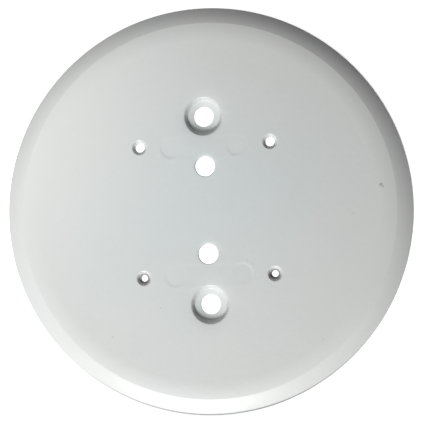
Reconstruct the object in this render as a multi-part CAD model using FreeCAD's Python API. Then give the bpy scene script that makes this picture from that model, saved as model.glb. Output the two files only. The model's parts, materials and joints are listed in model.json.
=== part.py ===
import FreeCAD, Part
import math
import os

# A round pressed-steel cover plate with two short straps spot-welded behind it.
# Units are millimetres. The plate lies face up on its rim: +Z is the way the front
# face looks, +Y runs along the line of the four large holes, towards the pair of
# wider screw dimples, and the origin is in the plane of the rim's seat, on the
# plate's axis.

# Cover plate: outline and sheet
PLATE_DIAMETER = 187.4      # at the sharp outer corner, before its rounding
SHOULDER_DIAMETER = 163.2   # where the flat face would meet its sloping border, unrounded
SHOULDER_ANGLE = 8.0        # degrees that the border slopes down towards the crease
SHOULDER_RADIUS = 50.0      # radius of the soft bend between face and border, in section
CREASE_DIAMETER = 172.0     # where the border turns down into the rim
SHEET = 1.2
RIM_DROP = 3.7              # from the crease down to the outer edge of the rim
RIM_CURL = 14.0             # degrees that the rim steepens from the crease to its edge
RIM_RADIUS = 30.0           # radius of the rim's gentle crown, in section
CREASE_RADIUS = 2.0         # front radius of the bend at the crease
SEAT_DEPTH = 0.3            # how much of the rim's lower corner is pressed flat as a seat
EDGE_RADIUS = 0.5           # roll-over along the plate's outer edge

# Plain punched holes, on the Y axis
PLAIN_SPACING = 40.0
PLAIN_DIAMETER = 9.0
ROLL_OVER = 0.45            # rounding that the punch leaves on the front edge

# Large recessed holes, on the Y axis
LARGE_SPACING = 86.0
LARGE_HOLE_DIAMETER = 9.0
LARGE_MOUTH_DIAMETER = 17.1  # at the sharp corner of face and wall, before rounding
LARGE_DEPTH = 2.0
LARGE_WALL_ANGLE = 60.0     # of the recess wall, below the face
LARGE_FLOOR_ANGLE = 11.0    # of the slightly dished floor
LARGE_MOUTH_RADIUS = 0.9
LARGE_FLOOR_RADIUS = 0.8
LARGE_LIP_RADIUS = 0.25      # roll-over at the front edge of the pierced hole

# Small recessed screw holes, on the corners of a square
SCREW_SPACING = 60.0
UPPER_SCREW_DIAMETER = 4.1
LOWER_SCREW_DIAMETER = 2.9
SMALL_MOUTH_DIAMETER = 6.2   # at the sharp corner of face and wall, before rounding
SMALL_DEPTH = 1.5
SMALL_WALL_ANGLE = 66.0
SMALL_FLOOR_ANGLE = 10.0
SMALL_MOUTH_RADIUS = 1.0
SMALL_FLOOR_RADIUS = 0.3
UPPER_LIP_RADIUS = 0.0
LOWER_LIP_RADIUS = 0.5
BACK_MOUTH_RADIUS = 0.2      # of both kinds of recess, where the sheet's back turns down

# Back straps
STRAP_LENGTH = 40.0
STRAP_WIDTH = 9.0
STRAP_THICKNESS = 1.5
STRAP_EDGE = 0.25           # bevel round the strap's outward face
WELD_SPACING = 31.0         # centre to centre of the two spot welds in each strap
WELD_MARK_DIAMETER = 5.0    # shallow mark that the electrode leaves
WELD_MARK_DEPTH = 0.2

CLEAR = 1.0                 # how far the cutting tools run past the faces
SHORTEST_EDGE = 0.001

# Worked out from the above
PLATE_RADIUS = PLATE_DIAMETER / 2
CREASE_RING_RADIUS = CREASE_DIAMETER / 2
SHOULDER_RING_RADIUS = SHOULDER_DIAMETER / 2
SHOULDER_DROP = (CREASE_RING_RADIUS - SHOULDER_RING_RADIUS) * math.tan(math.radians(SHOULDER_ANGLE))
RIM_SLOPE = math.degrees(math.atan2(RIM_DROP, PLATE_RADIUS - CREASE_RING_RADIUS))
EDGE_SLOPE = RIM_SLOPE + RIM_CURL / 2
CORNER_DROP = RIM_DROP + SHEET * math.cos(math.radians(EDGE_SLOPE))
FACE_Z = SHOULDER_DROP + CORNER_DROP - SEAT_DEPTH
BACK_Z = FACE_Z - SHEET


def mouth_reach(mouth_diameter, mouth_radius, wall_angle):
    """Radius at which a recess starts to leave the flat face."""
    return mouth_diameter / 2 + mouth_radius * math.tan(math.radians(wall_angle / 2))


LARGE_REACH = mouth_reach(LARGE_MOUTH_DIAMETER, LARGE_MOUTH_RADIUS, LARGE_WALL_ANGLE)
SMALL_REACH = mouth_reach(SMALL_MOUTH_DIAMETER, SMALL_MOUTH_RADIUS, SMALL_WALL_ANGLE)
STRAP_GAP_INNER = (PLAIN_SPACING + PLAIN_DIAMETER) / 2
STRAP_GAP_OUTER = LARGE_SPACING / 2 - LARGE_REACH
STRAP_Y = (STRAP_GAP_INNER + STRAP_GAP_OUTER) / 2


def point(radius, height):
    """A point of a section, which is drawn in the XZ plane."""
    return FreeCAD.Vector(radius, 0, height)


def unit(start, end):
    """Direction from one point to another, with length 1."""
    direction = end - start
    direction.normalize()
    return direction


def rounded_wire(corners, radii):
    """Closed wire through the corners, each rounded by a tangent arc of its radius."""
    edges = []
    count = len(corners)
    arrivals = []
    departures = []
    middles = []
    for index in range(count):
        corner = corners[index]
        back = unit(corner, corners[index - 1])
        ahead = unit(corner, corners[(index + 1) % count])
        half = back.getAngle(ahead) / 2
        reach = radii[index] / math.tan(half)
        towards = back + ahead
        if towards.Length > 0:
            towards.normalize()
        centre_distance = radii[index] / math.sin(half)
        arrivals.append(corner + back * reach)
        departures.append(corner + ahead * reach)
        middles.append(corner + towards * (centre_distance - radii[index]))
    for index in range(count):
        following = (index + 1) % count
        if radii[index] > 0:
            arc = Part.Arc(arrivals[index], middles[index], departures[index])
            edges.append(arc.toShape())
        if departures[index].distanceToPoint(arrivals[following]) > SHORTEST_EDGE:
            edges.append(Part.LineSegment(departures[index], arrivals[following]).toShape())
    return Part.Wire(edges)


def beneath(corners):
    """The corners of the sheet's other face, one sheet thickness below a path."""
    lower = []
    last = len(corners) - 1
    for index, corner in enumerate(corners):
        before = unit(corners[max(index - 1, 0)], corners[max(index, 1)])
        after = unit(corners[min(index, last - 1)], corners[min(index + 1, last)])
        across = before.cross(FreeCAD.Vector(0, 1, 0)) + after.cross(FreeCAD.Vector(0, 1, 0))
        across.normalize()
        if across.z > 0:
            across = across * -1
        stretch = math.cos(before.getAngle(after) / 2)
        lower.append(corner + across * (SHEET / stretch))
    return lower


def turned(wire):
    """Solid that a section makes when it is turned about the Z axis."""
    axis_point = FreeCAD.Vector(0, 0, 0)
    axis = FreeCAD.Vector(0, 0, 1)
    return Part.Face(wire).revolve(axis_point, axis, 360)


def rim_section():
    """Section of the pressed disc: flat face, border, crease, crowned rim and free edge."""
    start_slope = math.radians(RIM_SLOPE - RIM_CURL / 2)
    end_slope = math.radians(EDGE_SLOPE)
    half_length = (PLATE_RADIUS - CREASE_RING_RADIUS) / (math.cos(start_slope) + math.cos(end_slope))
    crease_z = FACE_Z - SHOULDER_DROP
    middle = point(
        CREASE_RING_RADIUS + half_length * math.cos(start_slope),
        crease_z - half_length * math.sin(start_slope),
    )
    front = [
        point(0, FACE_Z),
        point(SHOULDER_RING_RADIUS, FACE_Z),
        point(CREASE_RING_RADIUS, crease_z),
        middle,
        point(PLATE_RADIUS, crease_z - RIM_DROP),
    ]
    front_radii = [0, SHOULDER_RADIUS, CREASE_RADIUS, RIM_RADIUS, EDGE_RADIUS]
    back_radii = [0, SHOULDER_RADIUS - SHEET, CREASE_RADIUS - SHEET, RIM_RADIUS - SHEET, 0]
    back = beneath(front)
    return rounded_wire(front + back[::-1], front_radii + back_radii[::-1])


def pressed_disc():
    """The disc with its rim, its lower corner pressed flat to make the seat."""
    disc = turned(rim_section())
    seat = Part.makeCylinder(PLATE_DIAMETER, SEAT_DEPTH + CLEAR, point(0, -SEAT_DEPTH - CLEAR))
    return disc.cut(seat)


def recess(mouth_diameter, hole_diameter, depth, angles, radii):
    """A dimple of sheet thickness with its hole, which fills a round gap in the face."""
    wall_angle, floor_angle = angles
    mouth_radius, floor_radius, lip_radius = radii
    reach = mouth_reach(mouth_diameter, mouth_radius, wall_angle)
    foot = mouth_diameter / 2 - depth / math.tan(math.radians(wall_angle))
    hole = hole_diameter / 2
    web = hole / 2
    dish = (foot - web) * math.tan(math.radians(floor_angle))
    front = [
        point(reach, FACE_Z),
        point(mouth_diameter / 2, FACE_Z),
        point(foot, FACE_Z - depth),
        point(web, FACE_Z - depth - dish),
    ]
    front_radii = [0, mouth_radius, floor_radius, 0]
    back_radii = [0, BACK_MOUTH_RADIUS, floor_radius + SHEET, 0]
    back = beneath(front)
    section = rounded_wire(front + back[::-1], front_radii + back_radii[::-1])
    pierce = Part.makeCylinder(hole, FACE_Z + 2 * CLEAR, point(0, -CLEAR))
    return lipped(turned(section).cut(pierce), hole, lip_radius)


def lipped(dimple, hole, lip_radius):
    """Rounds the front edge of a dimple's hole."""
    if lip_radius == 0:
        return dimple
    width = 2 * hole + CLEAR / 2
    rings = [edge for edge in dimple.Edges if edge.Closed and edge.BoundBox.XLength < width]
    front_ring = max(rings, key=lambda edge: edge.BoundBox.ZMax)
    return dimple.makeFillet(lip_radius, [front_ring])


def punch():
    """Tool for a plain hole, flared at the front by the roll-over."""
    hole = PLAIN_DIAMETER / 2
    flare = hole + ROLL_OVER
    halfway = math.radians(45)
    shoulder = point(flare - ROLL_OVER * math.sin(halfway), FACE_Z - ROLL_OVER * (1 - math.cos(halfway)))
    corners = [
        point(hole, FACE_Z - ROLL_OVER),
        point(hole, -CLEAR),
        point(0, -CLEAR),
        point(0, FACE_Z + CLEAR),
        point(flare, FACE_Z + CLEAR),
        point(flare, FACE_Z),
    ]
    edges = [Part.LineSegment(start, end).toShape() for start, end in zip(corners, corners[1:])]
    edges.append(Part.Arc(corners[-1], shoulder, corners[0]).toShape())
    return turned(Part.Wire(edges))


def placed(shape, x, y):
    """A copy of a shape moved over the plate."""
    copy = shape.copy()
    copy.translate(FreeCAD.Vector(x, y, 0))
    return copy


def cover_plate():
    """The plate: pressed disc, two large and four small recesses, two plain holes."""
    plate = pressed_disc()
    large = recess(
        LARGE_MOUTH_DIAMETER,
        LARGE_HOLE_DIAMETER,
        LARGE_DEPTH,
        (LARGE_WALL_ANGLE, LARGE_FLOOR_ANGLE),
        (LARGE_MOUTH_RADIUS, LARGE_FLOOR_RADIUS, LARGE_LIP_RADIUS),
    )
    dimples = []
    for side in (1, -1):
        y = side * LARGE_SPACING / 2
        dimples.append((large, LARGE_REACH, 0, y))
        upper = side == 1
        small = recess(
            SMALL_MOUTH_DIAMETER,
            UPPER_SCREW_DIAMETER if upper else LOWER_SCREW_DIAMETER,
            SMALL_DEPTH,
            (SMALL_WALL_ANGLE, SMALL_FLOOR_ANGLE),
            (SMALL_MOUTH_RADIUS, SMALL_FLOOR_RADIUS, UPPER_LIP_RADIUS if upper else LOWER_LIP_RADIUS),
        )
        for x in (-SCREW_SPACING / 2, SCREW_SPACING / 2):
            dimples.append((small, SMALL_REACH, x, side * SCREW_SPACING / 2))
    for dimple, reach, x, y in dimples:
        gap = Part.makeCylinder(reach, FACE_Z + 2 * CLEAR, FreeCAD.Vector(x, y, -CLEAR))
        plate = plate.cut(gap).fuse(placed(dimple, x, y))
    for side in (1, -1):
        plate = plate.cut(placed(punch(), 0, side * PLAIN_SPACING / 2))
    return plate.removeSplitter()


def back_strap(side):
    """A round-ended strap under the plate, with two electrode marks on its open face."""
    low = BACK_Z - STRAP_THICKNESS
    half = (STRAP_LENGTH - STRAP_WIDTH) / 2
    end = STRAP_WIDTH / 2
    y = side * STRAP_Y
    corners = [
        FreeCAD.Vector(-half, y - end, low),
        FreeCAD.Vector(half, y - end, low),
        FreeCAD.Vector(half, y + end, low),
        FreeCAD.Vector(-half, y + end, low),
    ]
    tips = [FreeCAD.Vector(half + end, y, low), FreeCAD.Vector(-half - end, y, low)]
    outline = Part.Wire([
        Part.LineSegment(corners[0], corners[1]).toShape(),
        Part.Arc(corners[1], tips[0], corners[2]).toShape(),
        Part.LineSegment(corners[2], corners[3]).toShape(),
        Part.Arc(corners[3], tips[1], corners[0]).toShape(),
    ])
    strap = Part.Face(outline).extrude(FreeCAD.Vector(0, 0, STRAP_THICKNESS))
    rim_edges = [edge for edge in strap.Edges if edge.BoundBox.ZMax < low + STRAP_EDGE]
    strap = strap.makeChamfer(STRAP_EDGE, rim_edges)
    for x in (-WELD_SPACING / 2, WELD_SPACING / 2):
        mark = Part.makeCone(
            WELD_MARK_DIAMETER / 2,
            WELD_MARK_DIAMETER / 2 - WELD_MARK_DEPTH,
            WELD_MARK_DEPTH,
            FreeCAD.Vector(x, y, low),
        )
        strap = strap.cut(mark)
    return strap


def main():
    os.makedirs("parts", exist_ok=True)
    pieces = {
        "cover_plate": cover_plate(),
        "upper_back_strap": back_strap(1),
        "lower_back_strap": back_strap(-1),
    }
    for name, shape in pieces.items():
        shape.exportStep("parts/" + name + ".step")
        box = shape.BoundBox
        print(
            name, "valid", shape.isValid(), "solids", len(shape.Solids), "faces", len(shape.Faces),
            "volume", round(shape.Volume, 1),
            "low", round(box.XMin, 3), round(box.YMin, 3), round(box.ZMin, 3),
            "high", round(box.XMax, 3), round(box.YMax, 3), round(box.ZMax, 3),
        )
    print("face height", round(FACE_Z, 4), "back height", round(BACK_Z, 4), "strap y", round(STRAP_Y, 4))
    print("large reach", round(LARGE_REACH, 3), "small reach", round(SMALL_REACH, 3))


main()
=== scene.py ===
import json
import math
from collections import namedtuple

import bpy
from mathutils import Matrix, Vector, geometry, noise


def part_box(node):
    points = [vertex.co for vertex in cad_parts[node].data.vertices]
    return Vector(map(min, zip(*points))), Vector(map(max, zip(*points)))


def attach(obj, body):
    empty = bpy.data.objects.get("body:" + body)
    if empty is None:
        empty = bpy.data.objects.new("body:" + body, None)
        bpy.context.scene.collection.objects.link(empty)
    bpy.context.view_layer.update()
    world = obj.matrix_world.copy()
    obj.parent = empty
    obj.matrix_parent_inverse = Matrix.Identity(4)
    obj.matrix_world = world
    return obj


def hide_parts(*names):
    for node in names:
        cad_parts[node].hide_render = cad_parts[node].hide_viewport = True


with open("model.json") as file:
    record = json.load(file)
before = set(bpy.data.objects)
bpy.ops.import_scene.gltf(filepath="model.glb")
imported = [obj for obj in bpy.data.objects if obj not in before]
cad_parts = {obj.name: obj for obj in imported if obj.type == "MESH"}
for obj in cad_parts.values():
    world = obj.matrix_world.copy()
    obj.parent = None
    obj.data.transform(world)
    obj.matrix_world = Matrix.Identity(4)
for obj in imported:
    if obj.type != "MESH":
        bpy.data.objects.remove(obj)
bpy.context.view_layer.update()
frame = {"nodes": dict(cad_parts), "record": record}

MM = 0.001
TAU = 2 * math.pi

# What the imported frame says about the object, in metres
MOUNTS = {mount["name"]: mount for mount in frame["record"]["mounts"]}
FACE_Z = MOUNTS["front_face"]["pos_m"][2]
STRAP_LOW, STRAP_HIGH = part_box("upper_back_strap")
BACK_Z = STRAP_HIGH.z
SHEET = FACE_Z - BACK_Z


def half_spacing(mount, key):
    """Half the distance between a mount's two holes."""
    return MOUNTS[mount]["dims"][key] * MM / 2


def hole_radius(mount):
    return MOUNTS[mount]["dims"]["hole_r_mm"] * MM


PLAIN_Y = half_spacing("plain_holes", "spacing_y_mm")
LARGE_Y = half_spacing("large_screw_holes", "spacing_y_mm")
SMALL_X = half_spacing("upper_small_screw_holes", "spacing_x_mm")
SMALL_Y = MOUNTS["upper_small_screw_holes"]["pos_m"][1]

# The section of the pressed plate, as the CAD model has it
SHARP_RADIUS = 93.7 * MM       # of the outer corner before its rounding
CREASE_RADIUS = 86 * MM
SHOULDER_RING = 81.6 * MM      # where the face would meet its sloping border, unrounded
SHOULDER_ANGLE = math.radians(8)
SHOULDER_BEND = 50 * MM
RIM_DROP = 3.7 * MM
RIM_CURL = math.radians(14)
RIM_CROWN = 30 * MM
CREASE_BEND = 2 * MM
EDGE_ROUND = 0.5 * MM
ROLL_OVER = 0.45 * MM
CUT_ROUND = 0.12 * MM          # the paint rounds the sheared corners
LARGE_LIP = 0.25 * MM          # roll-over of the holes that were pierced in the recesses
SMALL_LIP = 0.5 * MM
BACK_BEND = 0.2 * MM           # of the recesses' mouths, on the back
MARGIN = 1.2 * MM              # flat ring of mesh round each bend
FLAT_RADIUS = SHOULDER_RING - SHOULDER_BEND * math.tan(SHOULDER_ANGLE / 2) - MARGIN

LARGE = {
    "mouth": 8.55 * MM,
    "depth": 2.0 * MM,
    "wall": math.radians(60),
    "floor": math.radians(11),
    "mouth_bend": 0.9 * MM,
    "floor_bend": 0.8 * MM,
    "segments": 128,
}
SMALL = {
    "mouth": 3.1 * MM,
    "depth": 1.5 * MM,
    "wall": math.radians(66),
    "floor": math.radians(10),
    "mouth_bend": 1.0 * MM,
    "floor_bend": 0.3 * MM,
    "segments": 72,
}

# How finely the meshes are cut
BEND_STEP = math.radians(6)
FEWEST_BEND_STEPS = 3
PARALLEL = 0.999999            # unit normals whose product is above this count as parallel
LONGEST_STRAIGHT = 0.9 * MM
SHORTEST_STRETCH = 0.0001 * MM
RIM_SEGMENTS = 480
PLAIN_SEGMENTS = 96
COARSE_GRID = 2.0 * MM
FINE_GRID = 0.5 * MM
FINEST_GRID = 0.22 * MM
GRID_ROOM = 0.6                # least room round a grid point, as a share of its grid
FILL_TOLERANCE = 1e-9
FINE_MARGIN = 2.2 * MM         # how far the front's fine mesh reaches past a strap's outline

# Faint marks in the sheet
STRAP_Y = (STRAP_LOW.y + STRAP_HIGH.y) / 2
STRAP_END = (STRAP_HIGH.y - STRAP_LOW.y) / 2
STRAP_HALF = (STRAP_HIGH.x - STRAP_LOW.x) / 2 - STRAP_END
DRAW_DEPTH = 0.12 * MM         # how far a large recess draws the face down round it
DRAW_WIDTH = 8 * MM
BROW_DEPTH = 0.15 * MM         # how far the face bends down right beside its mouth
BROW_WIDTH = 2.5 * MM
WAVE_HEIGHT = 0.06 * MM        # how far the pressed sheet is from flat
WAVE_LENGTH = 45 * MM
WAVE_SEED = 0.37 * MM          # picks the pattern of the waves
WAVE_FADE = 20 * MM            # width of the outer ring where the waves die away
BAND_DEPTH = 0.03 * MM         # print-through of a strap on the front
BAND_EDGE = 1.6 * MM           # width of that mark's soft edge
PUNCH_DEPTH = 0.3 * MM         # how far the front is drawn down above a plain hole
PUNCH_WIDTH = 2.0 * MM
PUNCH_EVEN = 0.4               # its share at the hole's sides, before smoothing
WELD_DEPTH = 0.1 * MM          # print-through of a spot weld
WELD_EDGE = 1.7 * MM           # width of that mark's soft edge
WELD_LIP = 0.035 * MM          # height of the low lip round it
WELD_LIP_OUT = WELD_EDGE / 3   # how far outside the weld's radius its lip is highest
WELD_EVEN = 0.6                # share of a weld's mark that is the same all round
WELD_LEAN = 0.5                # added towards its deepest side, taken off towards the other
SLOPE_STEP = 0.05 * MM         # distance over which the relief's slope is taken


# ---------------------------------------------------------------- sections

# A spot on a section: its place, the unit normal on the left of the way, how worn it is
# as a sharp edge and how darkened by the painted shade of steep faces, and how far it is
# painted dark as a sheared face and as painted shade on a recess floor, both from 0 to 1
Spot = namedtuple("Spot", "place normal wear sheared")


def smooth(value):
    """Goes from 0 to 1 as the value does, with a soft start and end."""
    value = min(1.0, max(0.0, value))
    return value * value * (3 - 2 * value)


def turn_left(way):
    """A direction turned a quarter to the left."""
    return Vector((-way.y, way.x))


# The colour is painted darker, as painted shade on steep faces, where a unit normal's
# height is below these, and is darkest where it is lower by STEEP_RANGE
EDGE_STEEP = 0.8
RECESS_STEEP = 0.97
STEEP_RANGE = 0.2


def steepness(normal, level):
    """Share from 0 to 1 of how far a surface that looks to the front is past a level
    of steepness, given as the height of its unit normal."""
    return smooth((level - normal.y) / STEEP_RANGE) if normal.y > 0 else 0.0


def rounded_path(corners, radii, cut, shade_from=EDGE_STEEP):
    """Spots along a path whose corners are rounded. The stretch between the two corners
    whose numbers are in cut is painted dark: sheared metal, and painted shade where it takes
    in a recess floor. The colour is darkened as painted shade where the surface is steeper
    than the level given as the last argument."""
    spots = []
    last = len(corners) - 1
    dark_start, dark_end = cut
    for index in range(len(corners)):
        here = corners[index]
        if index == 0 or index == last:
            way = (corners[1] - here if index == 0 else here - corners[last - 1]).normalized()
            spots.append(Spot(here, turn_left(way), 0.0, 0.0))
            continue
        before = (here - corners[index - 1]).normalized()
        after = (corners[index + 1] - here).normalized()
        turn = math.atan2(before.cross(after), before.dot(after))
        side = math.copysign(1, turn)
        radius = radii[index]
        start = here - before * radius * math.tan(abs(turn) / 2)
        left = turn_left(before)
        centre = start + left * side * radius
        steps = max(FEWEST_BEND_STEPS, math.ceil(abs(turn) / BEND_STEP))
        for step in range(steps + 1):
            share = step / steps
            normal = Matrix.Rotation(turn * share, 2) @ left
            tight = side < 0 and radius < MM
            wear = math.sin(math.pi * share) if tight else 0.0
            # Sheared faces are painted dark, and so is a recess floor taken into that stretch,
            # as painted shade.
            between = 1.0 if dark_start < index < dark_end else 0.0
            sheared = {dark_start: share, dark_end: 1 - share}.get(index, between)
            place = centre - normal * side * radius
            # Steep faces are darkened as painted shade, on top of the edge wear.
            spots.append(Spot(place, normal, max(wear, steepness(normal, shade_from)), sheared))
    return divided(spots)


def divided(spots):
    """The same path with its long straight stretches cut into shorter ones."""
    result = [spots[0]]
    for spot in spots[1:]:
        before = result[-1]
        length = (spot.place - before.place).length
        if length < SHORTEST_STRETCH:
            continue
        straight = before.normal.dot(spot.normal) > PARALLEL
        cuts = max(1, math.ceil(length / LONGEST_STRAIGHT)) if straight else 1
        for cut in range(1, cuts):
            place = before.place.lerp(spot.place, cut / cuts)
            result.append(Spot(place, spot.normal, spot.wear, spot.sheared))
        result.append(spot)
    return result


def beneath(corners):
    """The corners of the sheet's other face, one thickness to the right of a path."""
    moved = []
    last = len(corners) - 1
    for index, here in enumerate(corners):
        start = max(index - 1, 0)
        before = (corners[start + 1] - corners[start]).normalized()
        end = min(index + 1, last)
        after = (corners[end] - corners[end - 1]).normalized()
        right = -(turn_left(before) + turn_left(after)).normalized()
        moved.append(here + right * SHEET / -right.dot(turn_left(before)))
    return moved


def rim_path():
    """From the flat front over its border and the crowned rim, round to the flat back."""
    width = SHARP_RADIUS - CREASE_RADIUS
    slope = math.atan2(RIM_DROP, width)
    first = slope - RIM_CURL / 2
    final = slope + RIM_CURL / 2
    half = width / (math.cos(first) + math.cos(final))
    crease_z = FACE_Z - (CREASE_RADIUS - SHOULDER_RING) * math.tan(SHOULDER_ANGLE)
    front = [
        Vector((FLAT_RADIUS, FACE_Z)),
        Vector((SHOULDER_RING, FACE_Z)),
        Vector((CREASE_RADIUS, crease_z)),
        Vector((CREASE_RADIUS + half * math.cos(first), crease_z - half * math.sin(first))),
        Vector((SHARP_RADIUS, crease_z - RIM_DROP)),
    ]
    back = beneath(front)
    corner = back[-1]
    seat_outer = Vector((corner.x - corner.y * math.tan(final), 0))
    seat_inner = Vector((corner.x + corner.y / math.tan(final), 0))
    corners = front + [seat_outer, seat_inner] + back[-2::-1]
    radii = [0, SHOULDER_BEND, CREASE_BEND, RIM_CROWN, EDGE_ROUND, CUT_ROUND, CUT_ROUND,
             RIM_CROWN - SHEET, CREASE_BEND - SHEET, SHOULDER_BEND - SHEET, 0]
    return rounded_path(corners, radii, cut=(4, 5))


def recess_path(shape, hole, lip, shaded_floor):
    """From the flat front down into a recess, through its hole and back to the flat back.
    The front edge of the hole is rounded with the radius lip.

    Lengths across are negative, because the path runs towards the middle."""
    foot = shape["mouth"] - shape["depth"] / math.tan(shape["wall"])
    dish = (foot - hole) * math.tan(shape["floor"])
    reach = shape["mouth"] + shape["mouth_bend"] * math.tan(shape["wall"] / 2)
    front = [
        Vector((-reach - MARGIN, FACE_Z)),
        Vector((-shape["mouth"], FACE_Z)),
        Vector((-foot, FACE_Z - shape["depth"])),
        Vector((-hole, FACE_Z - shape["depth"] - dish)),
    ]
    back = beneath(front)
    fall = SHEET / math.cos(shape["floor"])
    back[-1] = Vector((-hole, front[-1].y - fall))
    corners = front + back[::-1]
    radii = [0, shape["mouth_bend"], shape["floor_bend"], lip, CUT_ROUND,
             shape["floor_bend"] + SHEET, BACK_BEND, 0]
    # The floor can be painted dark as well, as painted shade round the hole.
    cut = (2 if shaded_floor else 3, 4)
    return rounded_path(corners, radii, cut, shade_from=RECESS_STEEP)


def plain_path():
    """From the flat front over the punch's roll-over, down the hole to the flat back."""
    hole = hole_radius("plain_holes")
    start = -hole - ROLL_OVER - MARGIN
    corners = [
        Vector((start, FACE_Z)),
        Vector((-hole, FACE_Z)),
        Vector((-hole, BACK_Z)),
        Vector((start, BACK_Z)),
    ]
    return rounded_path(corners, [0, ROLL_OVER, CUT_ROUND, 0], cut=(1, 2))


# ---------------------------------------------------------------- shells

def relief(height, x, y):
    """The height that a function gives at a place, and its slopes along X and Y."""
    here = height(x, y)
    slope_x = (height(x + SLOPE_STEP, y) - here) / SLOPE_STEP
    slope_y = (height(x, y + SLOPE_STEP) - here) / SLOPE_STEP
    return here, slope_x, slope_y


class Shell:
    """Points, normals and faces of one closed skin while it is put together, and at each point
    how worn and how darkened by painted shade it is, and how far it is painted dark as sheared
    metal and as painted shade."""

    def __init__(self):
        self.points = []
        self.normals = []
        self.wear = []
        self.sheared = []
        self.faces = []

    def add(self, point, normal, wear=0.0, sheared=0.0):
        self.points.append(Vector(point))
        self.normals.append(Vector(normal))
        self.wear.append(wear)
        self.sheared.append(sheared)
        return len(self.points) - 1

    def sweep(self, path, centre, segments, inward):
        """Turns a path round an upright axis. Gives its first and last rings of points."""
        sign = -1 if inward else 1
        rings = []
        for spot in path:
            ring = []
            for step in range(segments):
                angle = TAU * step / segments
                across = Vector((math.cos(angle), math.sin(angle), 0)) * sign
                point = Vector((*centre, spot.place.y)) + across * spot.place.x
                normal = across * spot.normal.x + Vector((0, 0, spot.normal.y))
                ring.append(self.add(point, normal, spot.wear, spot.sheared))
            rings.append(ring)
        self.join(rings, inward)
        return rings[0], rings[-1]

    def join(self, rings, reverse):
        """Quads between neighbouring closed rings."""
        for low, high in zip(rings, rings[1:]):
            for index in range(len(low)):
                following = (index + 1) % len(low)
                quad = [low[index], high[index], high[following], low[following]]
                self.faces.append(quad[::-1] if reverse else quad)

    def fill(self, rings, clearance, grid_at, up):
        """Closes the level region between rings with triangles.

        clearance(x, y) is how far a place is inside the region; grid_at(x, y) is how
        fine the mesh is there."""
        indices = [index for ring in rings for index in ring]
        places = [self.points[index].xy for index in indices]
        edges = []
        start = 0
        for ring in rings:
            edges += [(start + i, start + (i + 1) % len(ring)) for i in range(len(ring))]
            start += len(ring)
        level = self.points[indices[0]].z
        for place in grid_points(places, clearance, grid_at):
            places.append(place)
            indices.append(self.add((*place, level), (0, 0, 1 if up else -1)))
        found = geometry.delaunay_2d_cdt(places, edges, [], 0, FILL_TOLERANCE)
        spots, triangles, sources = found[0], found[2], found[3]
        for triangle in triangles:
            middle = sum((spots[corner] for corner in triangle), Vector((0, 0))) / 3
            if clearance(*middle) > 0:
                face = [indices[sources[corner][0]] for corner in triangle]
                self.faces.append(face if up else face[::-1])

    def press(self, both_faces, front_only):
        """Moves the points up by small heights and tilts the normals to suit."""
        for index, point in enumerate(self.points):
            normal = self.normals[index]
            facing = max(0.0, normal.z)

            def height(x, y):
                return both_faces(x, y) + (front_only(x, y) * facing if facing else 0.0)

            here, slope_x, slope_y = relief(height, point.x, point.y)
            tilt = Vector((slope_x, slope_y, 0)) * normal.z
            self.normals[index] = (normal - tilt).normalized()
            point.z += here

    def build(self, name, material):
        """Makes the mesh with its own normals and attributes, and an object that shows it."""
        mesh = bpy.data.meshes.new(name)
        mesh.from_pydata(self.points, [], self.faces)
        mesh.validate()
        mesh.shade_smooth()
        mesh.normals_split_custom_set_from_vertices(self.normals)
        for attribute, values in (("edge_wear_and_shade", self.wear), ("sheared", self.sheared)):
            mesh.attributes.new(attribute, "FLOAT", "POINT").data.foreach_set("value", values)
        mesh.materials.append(material)
        piece = bpy.data.objects.new(name, mesh)
        bpy.context.scene.collection.objects.link(piece)
        return piece


def grid_points(places, clearance, grid_at):
    """Evenly staggered points inside a region, at each of the meshes' finenesses."""
    low_x = min(place.x for place in places)
    high_x = max(place.x for place in places)
    low_y = min(place.y for place in places)
    high_y = max(place.y for place in places)
    result = []
    for grid in (COARSE_GRID, FINE_GRID, FINEST_GRID):
        row_height = grid * math.sqrt(3) / 2
        for row in range(math.floor((high_y - low_y) / row_height)):
            y = low_y + (row + 0.5) * row_height
            shift = (row % 2) * grid / 2
            for column in range(math.floor((high_x - low_x) / grid)):
                x = low_x + (column + 0.5) * grid + shift
                if grid_at(x, y) == grid and clearance(x, y) > grid * GRID_ROOM:
                    result.append(Vector((x, y)))
    return result


# ---------------------------------------------------------------- relief of the sheet

def strap_distance(x, y):
    """How far a place is outside the nearer strap's outline."""
    along = max(0.0, abs(x) - STRAP_HALF)
    return math.hypot(along, abs(y) - STRAP_Y) - STRAP_END


def unevenness(x, y):
    """How far the pressed sheet leaves the ideal shape, the same on both its faces: it is
    drawn down round the large recesses and has long low waves."""
    reach = math.hypot(x, abs(y) - LARGE_Y) - LARGE["mouth"]
    brow = min(1.0, max(0.0, 1 - reach / BROW_WIDTH))
    height = -DRAW_DEPTH * smooth(1 - reach / DRAW_WIDTH) ** 2 - BROW_DEPTH * brow ** 2
    waves = noise.noise(Vector((x, y, WAVE_SEED)) / WAVE_LENGTH)
    fade = smooth((CREASE_RADIUS - math.hypot(x, y)) / WAVE_FADE)
    return height + WAVE_HEIGHT * (waves - 1) * fade


# Each spot weld's mark: its place, its radius, its deepest side, and its depth and lip as
# shares of the usual ones
WELD_MARKS = [
    ((-STRAP_HALF, STRAP_Y), 4.6 * MM, (-0.4, -0.9), 1.0, 0.2),
    ((STRAP_HALF - 1.4 * MM, STRAP_Y - MM), 3.4 * MM, (-0.3, -0.9), 0.9, 0.5),
    ((-STRAP_HALF, -STRAP_Y), 5.0 * MM, (0.1, -1.0), 0.8, 0.2),
    ((STRAP_HALF, -STRAP_Y), 4.5 * MM, (0.5, 0.8), 0.6, 1.0),
]


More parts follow.
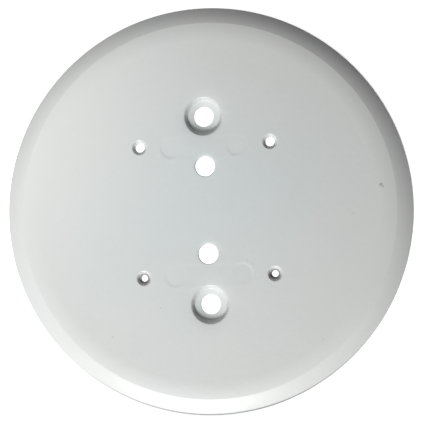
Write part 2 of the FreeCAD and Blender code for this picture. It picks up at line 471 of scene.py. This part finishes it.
def punch_mark(x, y):
    """The front is drawn down beside a plain hole, most above it and not at all below."""
    offset_y = y - math.copysign(PLAIN_Y, y)
    away = math.hypot(x, offset_y)
    near = min(1.0, max(0.0, 1 - (away - hole_radius("plain_holes")) / PUNCH_WIDTH))
    if near == 0:
        return 0.0
    lean = smooth(PUNCH_EVEN + (1 - PUNCH_EVEN) * offset_y / away)
    return -PUNCH_DEPTH * near ** 2 * lean


def front_marks(x, y):
    """Faint marks on the front: beside the plain holes, and the outlines of the straps and
    of their spot welds."""
    height = punch_mark(x, y)
    height -= BAND_DEPTH * smooth(0.5 - strap_distance(x, y) / BAND_EDGE)
    for place, reach, side, depth, lip in WELD_MARKS:
        offset = Vector((x, y)) - Vector(place)
        away = offset.length
        if away < reach + WELD_EDGE:
            inside = smooth((reach - away) / WELD_EDGE + 0.5)
            raised = smooth(1 - abs(away - reach - WELD_LIP_OUT) / WELD_EDGE)
            tilt = max(0.0, WELD_EVEN + WELD_LEAN * offset.dot(Vector(side)) / reach)
            height += (WELD_LIP * lip * raised - WELD_DEPTH * depth * inside) * tilt
    return height


# ---------------------------------------------------------------- pieces

def plate_holes():
    """Each hole's place, its section, and the number of segments it is turned with."""
    plain = plain_path()
    large = recess_path(LARGE, hole_radius("large_screw_holes"), LARGE_LIP, shaded_floor=False)
    upper_radius = hole_radius("upper_small_screw_holes")
    upper = recess_path(SMALL, upper_radius, CUT_ROUND, shaded_floor=False)
    lower_radius = hole_radius("lower_small_screw_holes")
    # The lower small recesses get a floor painted dark, as painted shade round their holes.
    lower = recess_path(SMALL, lower_radius, SMALL_LIP, shaded_floor=True)
    holes = []
    for side, small in ((1, upper), (-1, lower)):
        holes.append(((0, side * PLAIN_Y), plain, PLAIN_SEGMENTS))
        holes.append(((0, side * LARGE_Y), large, LARGE["segments"]))
        for x in (-SMALL_X, SMALL_X):
            holes.append(((x, side * SMALL_Y), small, SMALL["segments"]))
    return holes


HOLES = plate_holes()


def plate_clearance(x, y):
    """How far a place on the flat of the plate is from the rim and from every hole."""
    room = FLAT_RADIUS - math.hypot(x, y)
    for (hole_x, hole_y), path, _ in HOLES:
        room = min(room, math.hypot(x - hole_x, y - hole_y) + path[0].place.x)
    return room


def front_grid(x, y):
    """Finer where the straps and their welds show on the front."""
    return FINE_GRID if strap_distance(x, y) < FINE_MARGIN else COARSE_GRID


def coarse_grid(x, y):
    """The same mesh everywhere, for level regions that show no marks."""
    return COARSE_GRID


def plate_skin(material):
    """The pressed plate: rim, flat faces, recesses and holes in one closed skin."""
    shell = Shell()
    fronts = []
    backs = []
    first, final = shell.sweep(rim_path(), (0, 0), RIM_SEGMENTS, inward=False)
    fronts.append(first)
    backs.append(final)
    for centre, path, segments in HOLES:
        first, final = shell.sweep(path, centre, segments, inward=True)
        fronts.append(first)
        backs.append(final)
    shell.fill(fronts, plate_clearance, front_grid, up=True)
    shell.fill(backs, plate_clearance, coarse_grid, up=False)
    shell.press(unevenness, front_marks)
    return shell.build("cover_plate_skin", material)


STRAP_EDGE = 0.35 * MM         # rounding of the open face's edge
STRAP_TOP_EDGE = 0.1 * MM      # rounding of the edge against the plate
STRAP_BORDER = STRAP_EDGE * 3  # width of the ring of mesh round each level face
STRAP_END_SEGMENTS = 48
STRAP_SIDE_SEGMENTS = 40
ELECTRODE_RADIUS = 2.5 * MM
ELECTRODE_DEPTH = 0.2 * MM
ELECTRODE_SLOPE = 0.7 * MM     # width of the dent's sloping side
ELECTRODE_SHIFT = 0.25 * MM    # how far that side starts outside the electrode
ELECTRODE_LIP = 0.05 * MM
ELECTRODE_LIP_WIDTH = 0.5 * MM
ELECTRODE_FINE = 1.2 * MM      # width of the finely meshed ring round the dent
FACING_DOWN = -0.999           # normals lower than this belong to the strap's open face


def strap_outline(inset):
    """Points round the strap, going anticlockwise, that far inside its outline."""
    radius = STRAP_END - inset
    outline = []
    for end, start in ((1, -math.pi / 2), (-1, math.pi / 2)):
        for step in range(STRAP_END_SEGMENTS):
            angle = start + math.pi * step / STRAP_END_SEGMENTS
            along = end * STRAP_HALF + radius * math.cos(angle)
            outline.append(Vector((along, radius * math.sin(angle))))
        for step in range(STRAP_SIDE_SEGMENTS):
            along = end * (STRAP_HALF - 2 * STRAP_HALF * step / STRAP_SIDE_SEGMENTS)
            outline.append(Vector((along, end * radius)))
    return outline


def strap_normal(place):
    """The direction straight out of the strap's outline at a place."""
    along = max(-STRAP_HALF, min(STRAP_HALF, place.x))
    return (place - Vector((along, 0))).normalized()


def electrode_marks(x, y):
    """Shallow round dents with a low lip, where the welding electrodes pressed."""
    height = 0.0
    for weld_x in (-STRAP_HALF, STRAP_HALF):
        away = math.hypot(x - weld_x, y)
        inside = (ELECTRODE_RADIUS + ELECTRODE_SHIFT - away) / ELECTRODE_SLOPE
        height += ELECTRODE_DEPTH * smooth(inside)
        outside = abs(away - ELECTRODE_RADIUS - ELECTRODE_LIP_WIDTH)
        height -= ELECTRODE_LIP * smooth(1 - outside / ELECTRODE_LIP_WIDTH)
    return height


def strap_skin(name, side, material):
    """A round-ended strap with rounded edges and its two electrode marks."""
    shell = Shell()
    low = BACK_Z - (STRAP_HIGH.z - STRAP_LOW.z)
    corners = [
        Vector((-STRAP_BORDER, BACK_Z)),
        Vector((0, BACK_Z)),
        Vector((0, low)),
        Vector((-STRAP_BORDER, low)),
    ]
    path = rounded_path(corners, [0, STRAP_TOP_EDGE, STRAP_EDGE, 0], cut=(1, 2))
    rings = []
    for spot in path:
        ring = []
        for place in strap_outline(-spot.place.x):
            normal = (*(strap_normal(place) * spot.normal.x), spot.normal.y)
            ring.append(shell.add((*place, spot.place.y), normal, spot.wear, spot.sheared))
        rings.append(ring)
    shell.join(rings, reverse=False)

    def clearance(x, y):
        return STRAP_END - STRAP_BORDER - math.hypot(max(0.0, abs(x) - STRAP_HALF), y)

    def open_grid(x, y):
        near_weld = math.hypot(abs(x) - STRAP_HALF, y) < ELECTRODE_RADIUS + ELECTRODE_FINE
        return FINEST_GRID if near_weld else FINE_GRID

    shell.fill([rings[0]], clearance, coarse_grid, up=True)
    shell.fill([rings[-1]], clearance, open_grid, up=False)
    for index, point in enumerate(shell.points):
        if shell.normals[index].z < FACING_DOWN:
            dent, slope_x, slope_y = relief(electrode_marks, point.x, point.y)
            shell.normals[index] = Vector((slope_x, slope_y, -1)).normalized()
            point.z += dent
    for point in shell.points:
        point.y += side * STRAP_Y
        point.z += unevenness(point.x, point.y)
    return shell.build(name, material)


# ---------------------------------------------------------------- materials

class Nodes:
    """Short ways to add and link the nodes of one material."""

    def __init__(self, name):
        self.material = bpy.data.materials.new(name)
        self.material.use_nodes = True
        self.tree = self.material.node_tree
        self.shader = self.tree.nodes["Principled BSDF"]
        self.place = self.tree.nodes.new("ShaderNodeTexCoord").outputs["Object"]

    def link(self, source, target):
        self.tree.links.new(source, target)

    def noise(self, scale, detail, roughness):
        node = self.tree.nodes.new("ShaderNodeTexNoise")
        node.inputs["Scale"].default_value = scale
        node.inputs["Detail"].default_value = detail
        node.inputs["Roughness"].default_value = roughness
        self.link(self.place, node.inputs["Vector"])
        return node.outputs["Fac"]

    def spread(self, value, low, high, start=0.0, end=1.0):
        """Maps a value from low..high to start..end, and stops at the ends."""
        node = self.tree.nodes.new("ShaderNodeMapRange")
        node.inputs["From Min"].default_value = low
        node.inputs["From Max"].default_value = high
        node.inputs["To Min"].default_value = start
        node.inputs["To Max"].default_value = end
        self.link(value, node.inputs["Value"])
        return node.outputs["Result"]

    def maths(self, operation, first, second):
        node = self.tree.nodes.new("ShaderNodeMath")
        node.operation = operation
        for socket, value in zip(node.inputs, (first, second)):
            if isinstance(value, (int, float)):
                socket.default_value = value
            else:
                self.link(value, socket)
        return node.outputs["Value"]

    def mix(self, share, first, second):
        """Colour that goes from the first to the second with the share.

        The node's sockets are found by number, because several have the same name."""
        node = self.tree.nodes.new("ShaderNodeMix")
        node.data_type = "RGBA"
        self.link(share, node.inputs[0])
        for socket, value in ((node.inputs[6], first), (node.inputs[7], second)):
            if isinstance(value, tuple):
                socket.default_value = (*value, 1)
            else:
                self.link(value, socket)
        return node.outputs[2]

    def attribute(self, name):
        node = self.tree.nodes.new("ShaderNodeAttribute")
        node.attribute_name = name
        return node.outputs["Fac"]

    def distance(self, point):
        node = self.tree.nodes.new("ShaderNodeVectorMath")
        node.operation = "DISTANCE"
        self.link(self.place, node.inputs[0])
        node.inputs[1].default_value = point
        return node.outputs["Value"]

    def bump(self, height, depth, normal=None):
        node = self.tree.nodes.new("ShaderNodeBump")
        node.inputs["Strength"].default_value = 1.0
        node.inputs["Distance"].default_value = depth
        self.link(height, node.inputs["Height"])
        if normal is not None:
            self.link(normal, node.inputs["Normal"])
        return node.outputs["Normal"]


# Colours of the paint, of the metal under it, and of painted shade
PAINT_MIDDLE = (0.668, 0.714, 0.711)
PAINT_OUTER = (0.697, 0.708, 0.695)
# Thin paint, also used as painted shade on steep walls and on the rim
PAINT_THIN_AND_SHADE = (0.460, 0.475, 0.465)
PAINT_DUSTY = (0.420, 0.420, 0.410)
# Dark cut metal, also used as painted shade on hole walls and recess floors
CUT_AND_SHADE = (0.300, 0.301, 0.297)
# A line of painted shade along the outer edge
EDGE_SHADE = (0.150, 0.150, 0.147)

# Noise patterns: scale in cells per metre, detail, and roughness
CLOUDS = (14, 3, 0.55)
GLOSS = (60, 4, 0.6)
PEEL = (420, 2, 0.4)
MOTTLE = (520, 3, 0.6)
WEAR_AND_SHADE_NOISE = (700, 4, 0.7)
RAGGED = (1600, 3, 0.6)
GRAIN = (2600, 2, 0.5)
PAPER = (6, 2, 0.5)

# Values of a pattern that are stretched to its weakest and its strongest
NOISE_RANGE = (0.3, 0.7)
CLOUD_RANGE = (0.35, 0.65)

# How strong each pattern is
CLOUD_SWING = (-0.25, 0.25)            # added to the share of the outer tint
WEAR_AND_SHADE_SWING = (0.35, 1.0)
PLATE_MOTTLE = 0.05
STRAP_MOTTLE = 0.10
PLATE_ROUGHNESS = (0.36, 0.46)
STRAP_ROUGHNESS = (0.50, 0.62)
PEEL_DEPTH = 0.035 * MM
GRAIN_DEPTH = 0.006 * MM

# Where the colour changes, partly as painted shade. A ring's two distances, and those of the
# place where the outer edge's painted shade is darkest, are where the change starts and where
# it is complete.
TINT_RING = (15 * MM, 80 * MM)
WEAR_AND_SHADE_SHARE = 0.7
RIM_RING = (87 * MM, 93.5 * MM)        # painted shade: the rim gets darker outwards
RIM_SHARE = 0.2
EDGE_SHADE_RING = (92.7 * MM, 93 * MM)       # the outer edge, where a line of painted shade runs
EDGE_SHADE_PLACE = (5 * MM, -93 * MM, 0)     # the painted shade on the outer edge is darkest round here
EDGE_SHADE_REACH = (75 * MM, 20 * MM)
EDGE_SHADE_SHARE = 0.85
EDGE_MIDDLE = (0, 0, 1.3 * MM)         # on the axis, level with the rim's outer edge
SHEARED_AND_SHADED_RANGE = (0.6, 1.0)             # of that attribute, from paint to dark cut metal and painted shade

MARK_RAGGED = 0.4                      # how far a mark's edge wanders, as a share of its radius
MARK_EDGE = (1.2, 0.5)                 # where it fades in, as shares of its radius
# Marks in the paint: place and radius in millimetres, and how strong they are. The first
# two are a chip with its tail, the others are specks.
MARKS = [
    (79.1, 8.3, 0.85, 0.9),
    (79.9, 7.3, 0.65, 0.6),
    (-45.5, -56.3, 0.6, 0.3),
    (50.5, -60.3, 0.6, 0.3),
    (-22.8, -43.8, 0.5, 0.3),
    (66.4, -4.3, 0.5, 0.35),
]


def spot_mask(nodes, x, y, radius):
    """Share from 0 to 1 of a small round spot with an uneven edge."""
    ragged = MARK_RAGGED * radius
    uneven = nodes.spread(nodes.noise(*RAGGED), 0.0, 1.0, -ragged, ragged)
    away = nodes.maths("ADD", nodes.distance((x, y, FACE_Z)), uneven)
    outer, inner = MARK_EDGE
    return nodes.spread(away, radius * outer, radius * inner)


def powder_coat(name, front, mottle, roughness):
    """Satin powder coat: cloudy tint, mottling, orange peel and fine grain, worn edges with
    painted shade on steep walls and edges, and dark cut edges, with painted shade on the floors
    of the lower small recesses. The front also has painted shade that darkens the rim outwards
    and runs as a dark line along the outer edge, a chip and a few specks."""
    nodes = Nodes(name)
    clouds = nodes.spread(nodes.noise(*CLOUDS), *CLOUD_RANGE, *CLOUD_SWING)
    outward = nodes.spread(nodes.distance((0, 0, FACE_Z)), *TINT_RING)
    colour = nodes.mix(nodes.maths("ADD", outward, clouds), PAINT_MIDDLE, PAINT_OUTER)
    mottled = nodes.spread(nodes.noise(*MOTTLE), *NOISE_RANGE, 0.0, mottle)
    colour = nodes.mix(mottled, colour, PAINT_THIN_AND_SHADE)
    # Edge wear, and painted shade on steep walls and edges, darken the paint.
    uneven = nodes.spread(nodes.noise(*WEAR_AND_SHADE_NOISE), *NOISE_RANGE, *WEAR_AND_SHADE_SWING)
    worn_and_shaded = nodes.maths("MULTIPLY", nodes.attribute("edge_wear_and_shade"), uneven)
    colour = nodes.mix(nodes.maths("MULTIPLY", worn_and_shaded, WEAR_AND_SHADE_SHARE), colour, PAINT_THIN_AND_SHADE)
    if front:
        outside = nodes.distance(EDGE_MIDDLE)
        # Painted shade: the rim gets darker towards its outer edge.
        rim_shade = nodes.spread(outside, *RIM_RING, 0.0, RIM_SHARE)
        colour = nodes.mix(rim_shade, colour, PAINT_THIN_AND_SHADE)
        # Painted shade: a dark line along the outer edge, darkest near the bottom.
        near = nodes.spread(nodes.distance(EDGE_SHADE_PLACE), *EDGE_SHADE_REACH, 0.0, EDGE_SHADE_SHARE)
        edge_shade = nodes.maths("MULTIPLY", nodes.spread(outside, *EDGE_SHADE_RING), near)
        colour = nodes.mix(edge_shade, colour, EDGE_SHADE)
    # Cut faces are painted dark: cut metal with painted shade, and painted shade on the lower
    # small recesses' floors.
    sheared = nodes.spread(nodes.attribute("sheared"), *SHEARED_AND_SHADED_RANGE)
    colour = nodes.mix(sheared, colour, CUT_AND_SHADE)
    if front:
        for x, y, radius, strength in MARKS:
            mask = spot_mask(nodes, x * MM, y * MM, radius * MM)
            colour = nodes.mix(nodes.maths("MULTIPLY", mask, strength), colour, PAINT_DUSTY)
    nodes.link(colour, nodes.shader.inputs["Base Color"])
    gloss = nodes.spread(nodes.noise(*GLOSS), *NOISE_RANGE, *roughness)
    nodes.link(gloss, nodes.shader.inputs["Roughness"])
    peel = nodes.bump(nodes.noise(*PEEL), PEEL_DEPTH)
    grain = nodes.bump(nodes.noise(*GRAIN), GRAIN_DEPTH, peel)
    nodes.link(grain, nodes.shader.inputs["Normal"])
    return nodes.material


# The floor's own glow. A ring's two distances are where it starts and stops changing.
GLOW_UNDER = 0.8
GLOW_NEAR = 0.08
GLOW_FAR = 0.45
GLOW_HORIZON = 0.9
UNDER_MIDDLE = (0.4 * MM, 1.6 * MM, 0)
UNDER_RING = (94 * MM, 95.5 * MM)
KEY_SIDE = (-30 * MM, -200 * MM, 0)    # the floor glows least round here
AROUND_RING = (100 * MM, 240 * MM)
BEYOND_RING = (200 * MM, 800 * MM)
PAPER_DARK = (0.90, 0.90, 0.90)
PAPER_LIGHT = (0.93, 0.93, 0.93)
PAPER_ROUGHNESS = 0.9


def stage_paper():
    """Plain white paper over a light table. It glows brightly under the plate. Round the
    plate it glows least on the key light's side, and more the farther it is from there."""
    nodes = Nodes("stage_paper")
    shade = nodes.spread(nodes.noise(*PAPER), *NOISE_RANGE)
    paper = nodes.mix(shade, PAPER_DARK, PAPER_LIGHT)
    nodes.link(paper, nodes.shader.inputs["Base Color"])
    nodes.shader.inputs["Roughness"].default_value = PAPER_ROUGHNESS
    nodes.shader.inputs["Emission Color"].default_value = (1, 1, 1, 1)
    under = nodes.spread(nodes.distance(UNDER_MIDDLE), *UNDER_RING, GLOW_UNDER, 0.0)
    from_key = nodes.distance(KEY_SIDE)
    around = nodes.spread(from_key, *AROUND_RING, GLOW_NEAR, GLOW_FAR)
    beyond = nodes.spread(from_key, *BEYOND_RING, 0.0, GLOW_HORIZON)
    glow = nodes.maths("MAXIMUM", nodes.maths("MAXIMUM", under, around), beyond)
    nodes.link(glow, nodes.shader.inputs["Emission Strength"])
    return nodes.material


plate_paint = powder_coat("plate_powder_coat", True, PLATE_MOTTLE, PLATE_ROUGHNESS)
strap_paint = powder_coat("strap_powder_coat", False, STRAP_MOTTLE, STRAP_ROUGHNESS)
frame["nodes"]["cover_plate"].data.materials.clear()
frame["nodes"]["cover_plate"].data.materials.append(plate_paint)
for strap_node in ("upper_back_strap", "lower_back_strap"):
    frame["nodes"][strap_node].data.materials.clear()
    frame["nodes"][strap_node].data.materials.append(strap_paint)

plate = plate_skin(plate_paint)
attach(plate, "root")
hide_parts("cover_plate")
for strap_name, strap_side in (("upper_back_strap", 1), ("lower_back_strap", -1)):
    strap = strap_skin(strap_name + "_skin", strap_side, strap_paint)
    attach(strap, "root")
    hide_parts(strap_name)


# ---------------------------------------------------------------- stage, light, camera

# In metres
FLOOR_SIZE = 12.0
BACKDROP_RADIUS = 5.0
BACKDROP_HEIGHT = 4.0
BACKDROP_SEGMENTS = 64


def add_stage(name, points, faces, material):
    """Adds a mesh that belongs to the stage and not to the part."""
    mesh = bpy.data.meshes.new(name)
    mesh.from_pydata(points, [], faces)
    mesh.materials.append(material)
    piece = bpy.data.objects.new(name, mesh)
    bpy.context.scene.collection.objects.link(piece)
    return piece


def make_floor():
    half = FLOOR_SIZE / 2
    points = [(-half, -half, 0), (half, -half, 0), (half, half, 0), (-half, half, 0)]
    add_stage("stage_floor", points, [(0, 1, 2, 3)], stage_paper())


def make_backdrop():
    """A plain pale wall round the floor for low views. It's only seen, and lights nothing."""
    points = []
    for step in range(BACKDROP_SEGMENTS):
        angle = TAU * step / BACKDROP_SEGMENTS
        across = Vector((math.cos(angle), math.sin(angle), 0)) * BACKDROP_RADIUS
        points += [across, across + Vector((0, 0, BACKDROP_HEIGHT))]
    faces = []
    for low in range(0, len(points), 2):
        following = (low + 2) % len(points)
        faces.append((low, low + 1, following + 1, following))
    nodes = Nodes("stage_wall")
    nodes.shader.inputs["Base Color"].default_value = (0, 0, 0, 1)
    nodes.shader.inputs["Emission Color"].default_value = (1, 1, 1, 1)
    nodes.shader.inputs["Emission Strength"].default_value = GLOW_HORIZON
    nodes.material.cycles.emission_sampling = "NONE"
    wall = add_stage("stage_wall", points, faces, nodes.material)
    wall.visible_diffuse = False
    wall.visible_glossy = False
    wall.visible_shadow = False


def soft_light(name, azimuth, elevation, distance, size, power):
    """Square area light that looks at the plate. Azimuth is anticlockwise from +X."""
    data = bpy.data.lights.new(name, "AREA")
    data.size = size
    data.energy = power
    light = bpy.data.objects.new(name, data)
    around = math.radians(azimuth)
    upward = math.radians(elevation)
    level = math.cos(upward)
    towards = Vector((math.cos(around) * level, math.sin(around) * level, math.sin(upward)))
    light.location = towards * distance
    light.rotation_euler = towards.to_track_quat("Z", "Y").to_euler()
    bpy.context.scene.collection.objects.link(light)


# Name, azimuth and elevation in degrees, distance and size in metres, power in watts
LIGHTS = [
    ("key", 256.5, 36, 1.1, 0.3, 14.6),
    ("near_left", 152, 45, 0.225, 0.15, 0.165),
]

CAMERA_PLACE = Vector((62.3, -22.7, 559.06)) * MM
CAMERA_TARGET = Vector((2.19, -0.7, 5.03)) * MM
CAMERA_ROLL = math.radians(-2.2)
CAMERA_LENS = 104.25           # in millimetres, like the sensor's width
CAMERA_SENSOR = 36
CAMERA_CLIP = 10 * MM
WORLD_STRENGTH = 0.002


def make_camera():
    data = bpy.data.cameras.new("camera")
    data.lens = CAMERA_LENS
    data.sensor_width = CAMERA_SENSOR
    data.clip_start = CAMERA_CLIP
    camera = bpy.data.objects.new("camera", data)
    back = (CAMERA_PLACE - CAMERA_TARGET).normalized()
    right = Vector((0, 1, 0)).cross(back).normalized()
    up = back.cross(right)
    turned = Matrix.Rotation(CAMERA_ROLL, 3, back)
    axes = Matrix((turned @ right, turned @ up, back)).transposed()
    camera.matrix_world = Matrix.Translation(CAMERA_PLACE) @ axes.to_4x4()
    bpy.context.scene.collection.objects.link(camera)
    bpy.context.scene.camera = camera


def make_world():
    world = bpy.data.worlds.new("studio")
    world.use_nodes = True
    background = world.node_tree.nodes["Background"]
    background.inputs["Color"].default_value = (1, 1, 1, 1)
    background.inputs["Strength"].default_value = WORLD_STRENGTH
    bpy.context.scene.world = world


make_floor()
make_backdrop()
for light in LIGHTS:
    soft_light(*light)
make_world()
make_camera()
bpy.context.scene.view_settings.view_transform = "Standard"
